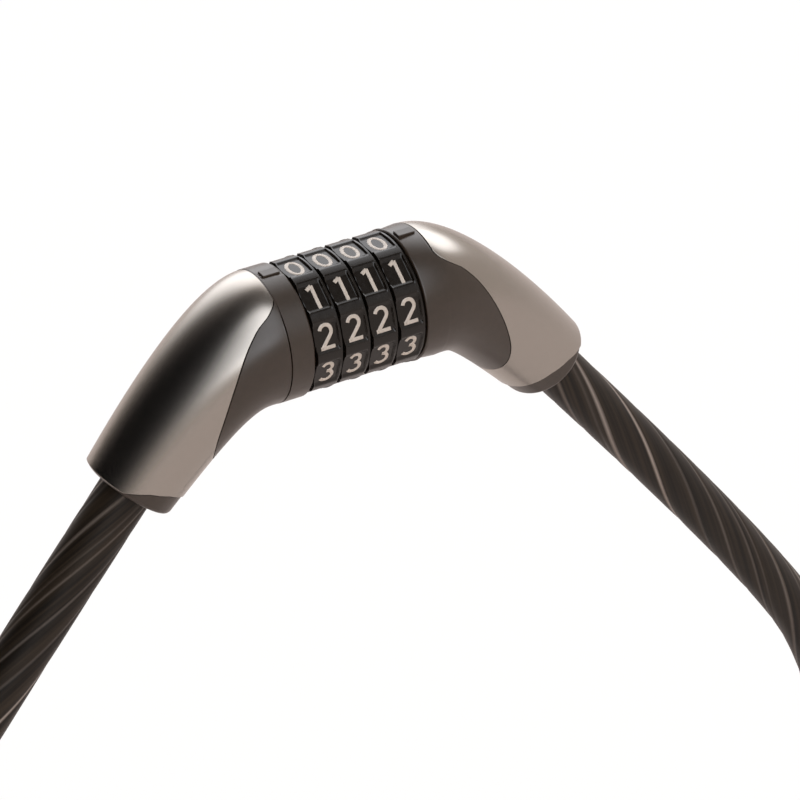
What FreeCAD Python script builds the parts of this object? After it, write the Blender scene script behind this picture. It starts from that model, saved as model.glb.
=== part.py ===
# Four-dial combination cable lock.
# The head is an arch: a barrel with four number dials between two elbows, a cable leaving each
# elbow.  The right elbow is the lock itself, the left elbow is the plug that pulls out of it.
# Frame: +X along the barrel towards the lock's elbow, +Z up, -Y towards the user, millimetres.
# The origin is where a hook or rail carries the hanging lock: under the middle of the barrel.
import FreeCAD, Part
import math
import os

V = FreeCAD.Vector
X_AXIS = V(1, 0, 0)
Y_AXIS = V(0, 1, 0)
Z_AXIS = V(0, 0, 1)

# ---- barrel and dials -------------------------------------------------------------------------
BARREL_R = 15.0            # collars, and the dials across their ridges
AXIS_Z = BARREL_R          # the barrel's axis above the origin
DIAL_COUNT = 4
DIAL_WIDTH = 6.3
DIAL_GAP = 0.5             # between two dials, and between a dial and a collar
CELLS = 10                 # number cells around a dial
CELL_DEPTH = 0.8           # from a ridge down to the middle of a number's flat plate
RIDGE_HALF_ANGLE = 4.5     # degrees, half the ridge left between two cells
LEDGE_ANGLE = 1.5          # degrees, the slope from a ridge down to a plate
RIM_WIDTH = 0.5            # plain rim on the right of each dial
RIM_DROP = 0.25            # the rim's radius below the ridges
COLLAR_LENGTH = 5.55
COLLAR_CHAMFER = 0.35
COLLAR_STEP = 0.06         # an elbow starts this much inside its collar
INDEX_LENGTH = 4.0         # index bar let into the top of each collar
INDEX_WIDTH = 2.4
INDEX_HEIGHT = 0.35        # how far it stands out of the collar
INDEX_DEPTH = 0.8          # and how deep it sits in it
INDEX_FIT = 0.04

# ---- elbows -----------------------------------------------------------------------------------
# Side view, from the middle of the collar's outer face: the outer and the inner edge of an elbow
# are cubic curves that start along the barrel and end at the lip's face.
EXIT_REACH = 33.0          # middle of the lip's face, along X
EXIT_DROP = 27.5           # and down
EXIT_ANGLE = 50.6          # degrees below horizontal, the way the cable leaves
EXIT_IN_PLANE = 10.45      # half height of the oval there
EXIT_ACROSS = 11.1         # half width of the oval there
OUTER_START = 11.1         # length of the outer edge's start handle
OUTER_END = 20.8           # and of its end handle
OUTER_TAPER = 2.6          # degrees, how much steeper than the cable that edge ends
INNER_START = 4.4
INNER_END = 29.4
INNER_TAPER = 4.1          # degrees, how much flatter than the cable the inner edge ends
WIDTH_TAPER = 1.45         # exponent of the narrowing across the elbow
SECTIONS = 8
SECTION_POINTS = 16
COVER_WALL = 1.2
COVER_SEAT = 0.1           # glue line between a cover and the body under it
COVER_EDGE_GAP = 0.2       # shadow line along the cover's edge
LIP_STEP = 0.3             # the lip stands this much inside the cover

# The cover's edge in side view, measured from the collar's outer face and the barrel's axis.
TONGUE_EDGE = [(2.6, 11.1), (5.9, 8.9), (9.7, 4.4), (13.3, -2.4), (16.0, -9.6), (17.3, -15.2),
               (17.0, -20.4), (14.4, -25.4)]
TONGUE_TOP = 13.0          # where that edge meets the collar
TONGUE_PAST = 5.0          # the cutting outline runs this far past the edge, along the barrel
# The cover's end in side view: back from the lip's face along the cable, and across the cable
# towards the outside of the arch.
COVER_END = [(0.3, 30.0), (0.7, 7.0), (3.3, 2.7), (4.8, -2.0), (5.1, -6.0), (5.1, -30.0)]

# ---- lock mechanism -----------------------------------------------------------------------------
TUBE_R = 6.5
RUNNING_FIT = 0.05         # radial clearance of what turns or slides
FIXED_FIT = 0.02           # radial clearance of what is pinned in place
BOLT_R = 4.2
BOLT_FIT = 0.08
BOLT_NOSE = 1.6            # length of the bolt's conical nose
LUG_REACH = 1.5            # how far the bolt's lugs stand out of the tube
LUG_WIDTH = 3.2
LUG_LENGTH = 1.7
LUG_CLEARANCE = 0.25       # around a lug in slot, notch and step
RING_LENGTH = 4.0
RING_WALL = 2.9            # of a code ring, between the tube and its teeth
RING_TOOTH = 0.7
RING_TOOTH_WIDTH = 2.2
RING_FIT = 0.06
SPACER_BAND = 5.5          # width of a spacer's ring around the tube
SPACER_WALL = 0.3
KEY_WIDTH = 2.0
KEY_DEPTH = 1.1
KEY_FIT = 0.1
TUBE_SOCKET = 10.0         # how far tube or bolt reaches into its elbow
SPIGOT_R = 9.0             # the plug's round spigot, which centres it in the end collar
SPIGOT_LENGTH = 1.6
SPIGOT_FIT = 0.1
SEAM_GAP = 0.15            # between the end collar and the plug
SPRING_CLEARANCE = 0.7     # around the tube
SPRING_BAND = 2.8          # width of the spring's ring, seen from its end
SPRING_HEIGHT = 1.1
SPRING_WALL = 0.35
SPRING_POCKET = 1.15
PIN_R = 1.25
PIN_CROWN = 0.3            # a pin's end below the surface that the cover hides
PIN_DEPTH = 9.5            # how far a vertical pin reaches below the barrel's axis
PIN_OFFSET = 4.6           # from the collar's outer face to the vertical pin
COLLAR_PIN_R = 0.8

# ---- cable --------------------------------------------------------------------------------------
CABLE_R = 6.0
CABLE_FIT = 0.15
CABLE_GRIP = 12.0          # length of jacket inside the elbow
FERRULE_R = 4.4
FERRULE_LENGTH = 13.0
CORE_R = 2.6               # the bare steel rope inside the ferrule
CORE_END = 1.0             # the rope stops this much short of the ferrule's end

# The cable's route in the plane of the arch, from the right elbow's exit round to the left one's:
# points (x, z) about the barrel's axis.  It starts and ends with a straight run out of an elbow.
EXIT_RUN = 112.0
ROUTE = [(141.5, -150.0), (146.0, -209.5), (115.0, -262.5), (58.2, -291.8),
         (-56.0, -291.8), (-112.0, -263.5), (-143.8, -210.5), (-140.0, -151.5)]
ARC_SHARE = 0.45           # of the shorter run that an arc may take up

# ---- places worked out from the sizes ---------------------------------------------------------
DIAL_PITCH = DIAL_WIDTH + DIAL_GAP
STACK_HALF = (DIAL_COUNT * DIAL_WIDTH + (DIAL_COUNT - 1) * DIAL_GAP) / 2
COLLAR_IN = STACK_HALF + DIAL_GAP
COLLAR_OUT = COLLAR_IN + COLLAR_LENGTH
EXIT = math.radians(EXIT_ANGLE)
CABLE_DIR = V(math.cos(EXIT), 0, -math.sin(EXIT))
ACROSS_DIR = V(math.sin(EXIT), 0, math.cos(EXIT))
FACE = V(COLLAR_OUT + EXIT_REACH, 0, AXIS_Z - EXIT_DROP)
SOCKET_FLOOR = FACE - CABLE_DIR * CABLE_GRIP
FERRULE_END = SOCKET_FLOOR - CABLE_DIR * FERRULE_LENGTH
ELBOW_R = BARREL_R - COLLAR_STEP
LUG_R = TUBE_R + LUG_REACH
RING_R = TUBE_R + RING_WALL
SPACER_R = TUBE_R + SPACER_BAND
SPRING_BORE = TUBE_R + SPRING_CLEARANCE
SPRING_R = SPRING_BORE + SPRING_BAND
SLOT_R = LUG_R + LUG_CLEARANCE
SLOT_WIDTH = LUG_WIDTH + 2 * LUG_CLEARANCE
FAR = 200.0                # larger than the head, for cutting


def dial_centre(index):
    return -STACK_HALF + DIAL_WIDTH / 2 + index * DIAL_PITCH


def rod(radius, x0, x1):
    """A round bar on the barrel's axis, from x0 to x1."""
    return Part.makeCylinder(radius, x1 - x0, V(x0, 0, AXIS_Z), X_AXIS)


def block(x0, x1, width, z0, z1):
    """A block on the plane of the arch; z0 and z1 are heights above the barrel's axis."""
    return Part.makeBox(x1 - x0, width, z1 - z0, V(x0, -width / 2, AXIS_Z + z0))


def upright_pin(radius, x, z0, z1):
    return Part.makeCylinder(radius, z1 - z0, V(x, 0, AXIS_Z + z0), Z_AXIS)


def cross_pin(radius, centre, half_length):
    return Part.makeCylinder(radius, 2 * half_length, centre - Y_AXIS * half_length, Y_AXIS)


def left(shape):
    """The same piece on the other elbow."""
    return shape.mirror(V(0, 0, 0), X_AXIS)


def side_outline(points):
    """A plate right through the head, from a closed outline of (x, z) points of the frame."""
    corners = [V(x, -FAR / 2, z) for x, z in points]
    face = Part.Face(Part.makePolygon(corners + corners[:1]))
    return face.extrude(Y_AXIS * FAR)


# ---- elbow forms --------------------------------------------------------------------------------
def edge_point(t, side, start_handle, end_handle, end_angle):
    """Point at t on an elbow's edge in side view; side is 1 for the outer edge, -1 for the inner."""
    p0 = V(COLLAR_OUT, 0, AXIS_Z + side * ELBOW_R)
    p3 = FACE + ACROSS_DIR * (side * EXIT_IN_PLANE)
    a = math.radians(end_angle)
    p1 = p0 + X_AXIS * start_handle
    p2 = p3 - V(math.cos(a), 0, -math.sin(a)) * end_handle
    s = 1 - t
    return p0 * s**3 + p1 * (3 * s * s * t) + p2 * (3 * s * t * t) + p3 * t**3


def section(t, inset):
    """The elbow's oval section at t, from 0 at the collar to 1 at the lip, drawn in by inset."""
    outer = edge_point(t, 1, OUTER_START, OUTER_END, EXIT_ANGLE + OUTER_TAPER)
    inner = edge_point(t, -1, INNER_START, INNER_END, EXIT_ANGLE - INNER_TAPER)
    centre = (outer + inner) * 0.5
    outward = (outer - inner).normalize()
    in_plane = (outer - inner).Length / 2 - inset
    across = ELBOW_R + (EXIT_ACROSS - ELBOW_R) * t**WIDTH_TAPER - inset
    points = []
    for i in range(SECTION_POINTS):
        a = 2 * math.pi * i / SECTION_POINTS
        points.append(centre + outward * (in_plane * math.cos(a)) + Y_AXIS * (across * math.sin(a)))
    curve = Part.BSplineCurve()
    even = [i / SECTION_POINTS for i in range(SECTION_POINTS + 1)]
    curve.interpolate(Points=points, Parameters=even, PeriodicFlag=True)
    return Part.Wire(curve.toShape())


def elbow_form(inset):
    """The elbow's outer form from collar to lip, drawn in by inset."""
    wires = [section(i / SECTIONS, inset) for i in range(SECTIONS + 1)]
    return Part.makeLoft(wires, True, False)


def tongue_line(gap):
    """The cover's edge in side view, moved by gap towards the outside of the elbow."""
    points = [V(COLLAR_OUT, 0, AXIS_Z + TONGUE_TOP + gap)]
    for x, z in TONGUE_EDGE:
        points.append(V(COLLAR_OUT + x + gap, 0, AXIS_Z + z))
    curve = Part.BSplineCurve()
    curve.interpolate(points)
    return curve.toShape()


def tongue_plate(gap):
    """Side view of what the cover leaves bare next to the barrel, grown by gap."""
    edge = tongue_line(gap)
    edge.translate(V(0, -FAR / 2, 0))
    first = edge.Vertexes[0].Point
    last = edge.Vertexes[-1].Point
    below = last + V(-TONGUE_PAST, 0, -FAR / 2)
    corner = V(COLLAR_OUT - TONGUE_PAST, -FAR / 2, below.z)
    top = V(COLLAR_OUT - TONGUE_PAST, -FAR / 2, first.z)
    rest = Part.makePolygon([last, below, corner, top, first])
    face = Part.Face(Part.Wire([edge] + rest.Edges))
    return face.extrude(Y_AXIS * FAR)


def cover_end_plate(gap):
    """Side view of what lies past the cover's end, drawn back by gap."""
    ends = [FACE + CABLE_DIR * (gap - back) + ACROSS_DIR * across for back, across in COVER_END]
    ends += [FACE + CABLE_DIR * 30 + ACROSS_DIR * across for across in (-30.0, 30.0)]
    return side_outline([(p.x, p.z) for p in ends])


def cover(start_gap):
    """Shell over an elbow, from start_gap past the collar to its slanted end."""
    shell = elbow_form(0).cut(elbow_form(COVER_WALL))
    shell = shell.cut(rod(FAR, COLLAR_OUT - 1, COLLAR_OUT + start_gap))
    return shell.cut(tongue_plate(0)).cut(cover_end_plate(0))


def elbow_body():
    """The dark body under a cover: the tongue next to the barrel, the core and the lip."""
    around_core = elbow_form(-1).cut(elbow_form(COVER_WALL + COVER_SEAT))
    under_cover = around_core.cut(tongue_plate(-COVER_EDGE_GAP)).cut(cover_end_plate(COVER_EDGE_GAP))
    around_lip = elbow_form(-1).cut(elbow_form(LIP_STEP)).common(cover_end_plate(COVER_EDGE_GAP))
    return elbow_form(0).cut(under_cover).cut(around_lip).cut(cable_socket())


def cable_socket():
    jacket = Part.makeCylinder(CABLE_R + CABLE_FIT, CABLE_GRIP + 5, SOCKET_FLOOR, CABLE_DIR)
    end = FERRULE_END - CABLE_DIR * FIXED_FIT
    ferrule = Part.makeCylinder(FERRULE_R + FIXED_FIT, FERRULE_LENGTH + 1, end, CABLE_DIR)
    return jacket.fuse([ferrule, cross_pin(PIN_R + FIXED_FIT, ferrule_middle(), FAR / 4)])


def ferrule_middle():
    return SOCKET_FLOOR - CABLE_DIR * (FERRULE_LENGTH / 2)


# ---- cable ends in an elbow ---------------------------------------------------------------------
def ferrule():
    sleeve = Part.makeCylinder(FERRULE_R, FERRULE_LENGTH, FERRULE_END, CABLE_DIR)
    bore_start = FERRULE_END + CABLE_DIR * CORE_END
    sleeve = sleeve.cut(Part.makeCylinder(CORE_R, FERRULE_LENGTH, bore_start, CABLE_DIR))
    return sleeve.cut(cross_pin(PIN_R + FIXED_FIT, ferrule_middle(), FAR / 4))


def cable_core():
    start = FERRULE_END + CABLE_DIR * CORE_END
    rope = Part.makeCylinder(CORE_R, FERRULE_LENGTH - CORE_END, start, CABLE_DIR)
    return rope.cut(cross_pin(PIN_R + FIXED_FIT, ferrule_middle(), FAR / 4))


def under_cover():
    """The room for a pin's ends, just below the surface that a cover hides."""
    return elbow_form(COVER_WALL + COVER_SEAT + PIN_CROWN)


def ferrule_pin():
    return cross_pin(PIN_R, ferrule_middle(), FAR / 4).common(under_cover())


# ---- the lock's own pieces ----------------------------------------------------------------------
def index_block(grow, height):
    """The index bar's block, grown all round by grow, up to a height above the barrel's axis."""
    middle = COLLAR_IN + COLLAR_LENGTH / 2
    half = INDEX_LENGTH / 2 + grow
    return block(middle - half, middle + half, INDEX_WIDTH + 2 * grow,
                 BARREL_R - INDEX_DEPTH - grow, height)


def index_mark():
    bar = index_block(0, BARREL_R + INDEX_HEIGHT)
    top = [e for e in bar.Edges if e.BoundBox.ZMin > AXIS_Z + BARREL_R]
    return bar.makeFillet(INDEX_HEIGHT / 2, top)


def collar():
    ring = rod(BARREL_R, COLLAR_IN, COLLAR_OUT)
    inner_edge = [e for e in ring.Edges if e.BoundBox.XMax < COLLAR_IN + 0.01]
    return ring.makeChamfer(COLLAR_CHAMFER, inner_edge).cut(index_block(INDEX_FIT, BARREL_R + 1))


def lock_housing():
    body = collar().fuse(elbow_body())
    body = body.cut(rod(TUBE_R + FIXED_FIT, COLLAR_IN - 1, COLLAR_OUT + TUBE_SOCKET))
    body = body.cut(rod(SPRING_R + RING_FIT, COLLAR_IN - 1, COLLAR_IN + SPRING_POCKET))
    return body.cut(upright_pin(PIN_R + FIXED_FIT, COLLAR_OUT + PIN_OFFSET, -PIN_DEPTH, BARREL_R + 5))


def plug_housing():
    body = elbow_body()
    face = COLLAR_OUT + SEAM_GAP
    body = body.cut(rod(BARREL_R + 5, COLLAR_OUT - 5, face))
    body = body.fuse(rod(SPIGOT_R, face - SPIGOT_LENGTH, face + 1))
    body = body.cut(rod(BOLT_R + FIXED_FIT, face - SPIGOT_LENGTH - 1, COLLAR_OUT + TUBE_SOCKET))
    pin_hole = upright_pin(PIN_R + FIXED_FIT, COLLAR_OUT + PIN_OFFSET, -PIN_DEPTH, BARREL_R + 5)
    return left(body.cut(pin_hole))


def end_collar():
    ring = collar().cut(rod(TUBE_R + FIXED_FIT, COLLAR_IN - 1, COLLAR_OUT + 1))
    ring = ring.cut(block(COLLAR_IN - 1, COLLAR_OUT + 1, SLOT_WIDTH, -SLOT_R, 0))
    recess = COLLAR_OUT + SEAM_GAP - SPIGOT_LENGTH - SPIGOT_FIT
    ring = ring.cut(rod(SPIGOT_R + SPIGOT_FIT, recess, COLLAR_OUT + 1))
    ring = ring.cut(upright_pin(COLLAR_PIN_R + FIXED_FIT, collar_pin_x(), 0, BARREL_R))
    return left(ring)


def collar_pin_x():
    return COLLAR_IN + (COLLAR_LENGTH - SPIGOT_LENGTH) / 2


def collar_pin():
    """Pin through collar and tube, driven in from above and hidden by the index bar."""
    bottom = BOLT_R + BOLT_FIT + PIN_CROWN / 2
    top = BARREL_R - INDEX_DEPTH - PIN_CROWN
    return left(upright_pin(COLLAR_PIN_R, collar_pin_x(), bottom, top))


def lock_tube():
    start = -(COLLAR_OUT + SEAM_GAP - SPIGOT_LENGTH - SPIGOT_FIT)
    end = COLLAR_OUT + TUBE_SOCKET - FIXED_FIT
    tube = rod(TUBE_R, start, end).cut(rod(BOLT_R + BOLT_FIT, start - 1, end + 1))
    tube = tube.cut(block(start - 1, COLLAR_IN, SLOT_WIDTH, -TUBE_R - 1, 0))
    tube = tube.cut(block(-COLLAR_IN, COLLAR_IN, KEY_WIDTH + 2 * KEY_FIT, TUBE_R - KEY_DEPTH, TUBE_R + 1))
    tube = tube.cut(upright_pin(PIN_R + FIXED_FIT, COLLAR_OUT + PIN_OFFSET, -PIN_DEPTH, PIN_DEPTH))
    return tube.cut(upright_pin(COLLAR_PIN_R + FIXED_FIT, -collar_pin_x(), 0, PIN_DEPTH))


def fixing_pin():
    """Vertical pin that holds the tube, or the bolt, in its elbow."""
    return upright_pin(PIN_R, COLLAR_OUT + PIN_OFFSET, -PIN_DEPTH, BARREL_R).common(under_cover())


def dial_spacers():
    washers = []
    for index in range(DIAL_COUNT + 1):
        x0 = dial_centre(index) - DIAL_PITCH / 2 - SPACER_WALL / 2
        x1 = x0 + SPACER_WALL
        washer = rod(SPACER_R, x0, x1).cut(rod(TUBE_R + RUNNING_FIT, x0 - 1, x1 + 1))
        washer = washer.cut(block(x0 - 1, x1 + 1, SLOT_WIDTH, -SLOT_R, 0))
        washers.append(washer.fuse(block(x0, x1, KEY_WIDTH, TUBE_R - KEY_DEPTH + KEY_FIT, TUBE_R + 1)))
    return Part.makeCompound(washers)


def stack_spring():
    """Conical spring washer that presses the dials together."""
    x0 = COLLAR_IN + SPRING_POCKET - SPRING_HEIGHT
    profile = [V(x0 + SPRING_HEIGHT - SPRING_WALL, 0, AXIS_Z + SPRING_BORE),
               V(x0 + SPRING_HEIGHT, 0, AXIS_Z + SPRING_BORE),
               V(x0 + SPRING_WALL, 0, AXIS_Z + SPRING_R),
               V(x0, 0, AXIS_Z + SPRING_R)]
    face = Part.Face(Part.makePolygon(profile + profile[:1]))
    return face.revolve(V(0, 0, AXIS_Z), X_AXIS, 360)


# ---- dials --------------------------------------------------------------------------------------
def around(radius, degrees, x):
    a = math.radians(degrees)
    return V(x, -radius * math.sin(a), AXIS_Z + radius * math.cos(a))


def dial_outline(x):
    """Ten flat number plates with a ridge between each two; one plate's middle is on top."""
    half_cell = 180 / CELLS
    half_floor = half_cell - RIDGE_HALF_ANGLE
    half_plate = half_floor - LEDGE_ANGLE
    plate_end_r = (BARREL_R - CELL_DEPTH) / math.cos(math.radians(half_plate))
    edges = []
    for index in range(CELLS):
        middle = 2 * half_cell * index
        corners = [around(BARREL_R, middle - half_floor, x),
                   around(plate_end_r, middle - half_plate, x),
                   around(plate_end_r, middle + half_plate, x),
                   around(BARREL_R, middle + half_floor, x)]
        edges += [Part.LineSegment(a, b).toShape() for a, b in zip(corners, corners[1:])]
        crest = around(BARREL_R, middle + half_cell, x)
        next_floor = around(BARREL_R, middle + half_cell + RIDGE_HALF_ANGLE, x)
        edges.append(Part.Arc(corners[-1], crest, next_floor).toShape())
    return Part.Wire(edges)


def ring_toothed(radius, tooth, width, x0, x1):
    """A toothed bar: the code ring's outside, and the space it leaves in the dial."""
    body = rod(radius, x0, x1)
    reach = radius + tooth
    teeth = []
    for index in range(CELLS):
        one = block(x0, x1, width, radius - 1, reach)
        one.rotate(V(0, 0, AXIS_Z), X_AXIS, index * 360 / CELLS)
        teeth.append(one)
    return body.fuse(teeth)


def code_ring(index):
    x0 = dial_centre(index) - DIAL_WIDTH / 2
    x1 = x0 + RING_LENGTH
    ring = ring_toothed(RING_R, RING_TOOTH, RING_TOOTH_WIDTH, x0, x1)
    ring = ring.cut(rod(TUBE_R + RUNNING_FIT, x0 - 1, x1 + 1))
    return ring.cut(block(x0 - 1, x1 + 1, SLOT_WIDTH, -SLOT_R, 0))


def dial(index):
    x0 = dial_centre(index) - DIAL_WIDTH / 2
    x1 = x0 + DIAL_WIDTH
    wheel = Part.Face(dial_outline(x0)).extrude(X_AXIS * (DIAL_WIDTH - RIM_WIDTH))
    wheel = wheel.fuse(rod(BARREL_R - RIM_DROP, x1 - RIM_WIDTH, x1))
    space = ring_toothed(RING_R + RING_FIT, RING_TOOTH, RING_TOOTH_WIDTH + 2 * RING_FIT,
                         x0 - 1, x0 + RING_LENGTH)
    return wheel.cut(space).cut(rod(SLOT_R + RING_FIT, x0, x1 + 1))


# ---- plug ---------------------------------------------------------------------------------------
def bolt():
    """Round bolt with one lug behind each code ring, and a conical nose."""
    start = -(COLLAR_OUT + TUBE_SOCKET - FIXED_FIT)
    last_lug = lug_start(DIAL_COUNT - 1) + LUG_LENGTH
    nose = last_lug + BOLT_NOSE / 2
    shank = rod(BOLT_R, start, nose)
    cone = Part.makeCone(BOLT_R, BOLT_R - BOLT_NOSE, BOLT_NOSE, V(nose, 0, AXIS_Z), X_AXIS)
    lugs = []
    for index in range(DIAL_COUNT):
        x0 = lug_start(index)
        lugs.append(block(x0, x0 + LUG_LENGTH, LUG_WIDTH, -LUG_R, 0))
    body = shank.fuse([cone] + lugs)
    return body.cut(upright_pin(PIN_R + FIXED_FIT, -(COLLAR_OUT + PIN_OFFSET), -PIN_DEPTH, PIN_DEPTH))


def lug_start(index):
    ring_end = dial_centre(index) - DIAL_WIDTH / 2 + RING_LENGTH
    return ring_end + (DIAL_WIDTH - RING_LENGTH - LUG_LENGTH) / 2


# ---- cable --------------------------------------------------------------------------------------
def route_points():
    bend = SOCKET_FLOOR + CABLE_DIR * EXIT_RUN
    middle = [V(x, 0, AXIS_Z + z) for x, z in ROUTE]
    other_end = [V(-p.x, 0, p.z) for p in (bend, SOCKET_FLOOR)]
    return [SOCKET_FLOOR, bend] + middle + other_end


def cable_loop():
    """The whole cable: straight runs joined by tangent arcs, as large as the runs allow."""
    points = route_points()
    edges = []
    radii = []
    here = points[0]
    length = 0.0
    for before, corner, after in zip(points, points[1:], points[2:]):
        run_in = corner - before
        run_out = after - corner
        half_turn = run_in.getAngle(run_out) / 2
        cut_back = ARC_SHARE * min(run_in.Length, run_out.Length)
        radius = cut_back / math.tan(half_turn)
        u_in = run_in.normalize()
        u_out = run_out.normalize()
        start = corner - u_in * cut_back
        end = corner + u_out * cut_back
        inward = (u_out - u_in).normalize()
        middle = corner + inward * (radius / math.cos(half_turn) - radius)
        edges.append(Part.LineSegment(here, start).toShape())
        edges.append(Part.Arc(start, middle, end).toShape())
        length += (start - here).Length + 2 * half_turn * radius
        radii.append(radius)
        here = end
    edges.append(Part.LineSegment(here, points[-1]).toShape())
    length += (points[-1] - here).Length
    path = Part.Wire(edges)
    direction = (points[1] - points[0]).normalize()
    ring = Part.Wire(Part.makeCircle(CABLE_R, points[0], direction))
    loop = path.makePipeShell([ring], True, True)
    print("cable radii", [round(r) for r in radii])
    ideal = math.pi * CABLE_R**2 * length
    print("cable length %.0f, volume %.0f, section x length %.0f" % (length, loop.Volume, ideal))
    return loop


def halves(loop):
    """The cable cut at the lowest stretch of its loop, right half first."""
    box = Part.makeBox(2 * FAR, FAR, 4 * FAR, V(0, -FAR / 2, -3 * FAR))
    return loop.common(box), loop.cut(box)


def main():
    nodes = {
        "lock_housing": lock_housing(),
        "lock_cover": cover(COVER_EDGE_GAP),
        "lock_tube": lock_tube(),
        "tube_pin": fixing_pin(),
        "end_collar": end_collar(),
        "collar_pin": collar_pin(),
        "index_mark_right": index_mark(),
        "index_mark_left": left(index_mark()),
        "dial_spacers": dial_spacers(),
        "stack_spring": stack_spring(),
        "ferrule_right": ferrule(),
        "ferrule_pin_right": ferrule_pin(),
        "cable_core_right": cable_core(),
        "plug_housing": plug_housing(),
        "plug_cover": left(cover(SEAM_GAP)),
        "bolt": bolt(),
        "bolt_pin": left(fixing_pin()),
        "ferrule_left": left(ferrule()),
        "ferrule_pin_left": left(ferrule_pin()),
        "cable_core_left": left(cable_core()),
    }
    for index in range(DIAL_COUNT):
        nodes["dial_%d" % (index + 1)] = dial(index)
        nodes["code_ring_%d" % (index + 1)] = code_ring(index)
    nodes["cable_right"], nodes["cable_left"] = halves(cable_loop())
    os.makedirs("parts", exist_ok=True)
    for name, shape in nodes.items():
        shape.exportStep("parts/%s.step" % name)
        box = shape.BoundBox
        print("%-18s solids %d valid %s volume %.1f x %.1f..%.1f z %.1f..%.1f" % (
            name, len(shape.Solids), shape.isValid(), shape.Volume,
            box.XMin, box.XMax, box.ZMin, box.ZMax))


main()
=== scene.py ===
import math

import bmesh
import bpy
from mathutils import Matrix, Vector


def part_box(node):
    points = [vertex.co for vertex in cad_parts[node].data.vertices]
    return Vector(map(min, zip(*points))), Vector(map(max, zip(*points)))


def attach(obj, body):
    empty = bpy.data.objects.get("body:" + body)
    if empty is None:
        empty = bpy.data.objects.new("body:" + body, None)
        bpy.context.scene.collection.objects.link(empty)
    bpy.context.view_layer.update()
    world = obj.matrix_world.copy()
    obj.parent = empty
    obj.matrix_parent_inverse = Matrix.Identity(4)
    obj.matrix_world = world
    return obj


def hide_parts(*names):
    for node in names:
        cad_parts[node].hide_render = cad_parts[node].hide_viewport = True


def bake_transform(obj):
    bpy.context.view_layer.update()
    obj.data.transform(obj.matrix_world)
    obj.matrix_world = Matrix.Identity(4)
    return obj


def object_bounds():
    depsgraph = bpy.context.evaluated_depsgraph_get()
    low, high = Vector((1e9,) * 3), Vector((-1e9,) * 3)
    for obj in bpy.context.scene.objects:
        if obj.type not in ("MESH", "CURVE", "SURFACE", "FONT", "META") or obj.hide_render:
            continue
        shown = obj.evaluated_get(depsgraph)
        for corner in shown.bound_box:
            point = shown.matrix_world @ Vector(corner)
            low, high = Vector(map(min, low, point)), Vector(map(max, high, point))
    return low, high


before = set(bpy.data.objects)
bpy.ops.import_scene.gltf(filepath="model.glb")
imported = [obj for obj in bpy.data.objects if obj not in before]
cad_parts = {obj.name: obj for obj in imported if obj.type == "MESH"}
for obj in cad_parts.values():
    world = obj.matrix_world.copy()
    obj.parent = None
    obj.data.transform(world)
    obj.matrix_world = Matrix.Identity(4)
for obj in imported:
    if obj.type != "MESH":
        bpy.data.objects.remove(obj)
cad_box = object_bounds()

# A four-dial combination cable lock that hangs by its barrel.  The CAD frame holds the mechanism;
# here the outer skins, dials, numerals and the twisted cable get their finished shapes and
# materials.  Sizes are in metres, as the frame's are, unless a comment says mm; angles here are in
# degrees.
MM = 0.001
NOISE_DETAIL = 3.0
LOCK_SIDE = 1              # the lock's elbow is made as it is, the plug's is its mirror image in X
PLUG_SIDE = -1

# ---- places read from the frame ---------------------------------------------------------------
COLLAR_LOW, COLLAR_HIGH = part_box("end_collar")
BARREL_R = (COLLAR_HIGH.y - COLLAR_LOW.y) / 2
AXIS_Z = (COLLAR_HIGH.z + COLLAR_LOW.z) / 2
COLLAR_IN = -COLLAR_HIGH.x
COLLAR_OUT = -COLLAR_LOW.x
DIALS = ["dial_1", "dial_2", "dial_3", "dial_4"]
DIAL_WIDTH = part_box("dial_1")[1].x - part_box("dial_1")[0].x

# ---- elbows: side view measured from the collar's outer face and the barrel's axis --------------
# EXIT_REACH to WIDTH_TAPER come from fits, rounded.
EXIT_REACH = 33.0 * MM
EXIT_DROP = 27.5 * MM
EXIT_ANGLE = 50.6
EXIT_IN_PLANE = 10.45 * MM
EXIT_ACROSS = 11.1 * MM
OUTER_START = 11.1 * MM
OUTER_END = 20.8 * MM
OUTER_TAPER = 2.6
INNER_START = 4.4 * MM
INNER_END = 29.4 * MM
INNER_TAPER = 4.1
WIDTH_TAPER = 1.45
ELBOW_INSET = 0.06 * MM     # the elbow starts this far below the collar's rim
ELBOW_R = BARREL_R - ELBOW_INSET
COVER_WALL = 1.2 * MM
POCKET_DEPTH = 1.3 * MM
EDGE_GAP = 0.2 * MM
SEAM_GAP = 0.15 * MM
LIP_STEP = 0.3 * MM
LIP_ROUND = 0.8 * MM
# the cover's edge at the tongue in mm: height above the barrel's axis, place past the collar;
# chosen between the edges measured at both elbows
TONGUE_EDGE = [(13.0, 0.0), (11.1, 2.6), (8.9, 5.9), (4.4, 9.7), (-2.4, 13.3), (-9.6, 16.0),
               (-15.2, 17.3), (-20.4, 17.0), (-25.4, 14.4), (-50.4, 9.4)]
TONGUE_CORNER = 1.0 * MM
# the cover's other end in mm: place across the exit, distance before the lip's face
COVER_END = [(-30.0, 5.1), (-6.0, 5.1), (-2.0, 4.8), (2.7, 3.3), (7.2, 0.5), (30.0, 0.2)]
SOCKET_R = 6.15 * MM
SOCKET_DEPTH = 12.0 * MM
COLUMNS = 192              # points round an elbow
COVER_ROWS = 56            # rings over a cover's outside, and over its inside
COVER_INSIDE_ROWS = 20
TONGUE_ROWS = 24
POCKET_ROWS = 12
LIP_ROWS = 10
LIP_ROUND_ROWS = 6
SOCKET_CHAMFER = 0.5 * MM
HALVINGS = 26              # when a surface's crossing with an edge is sought

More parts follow.
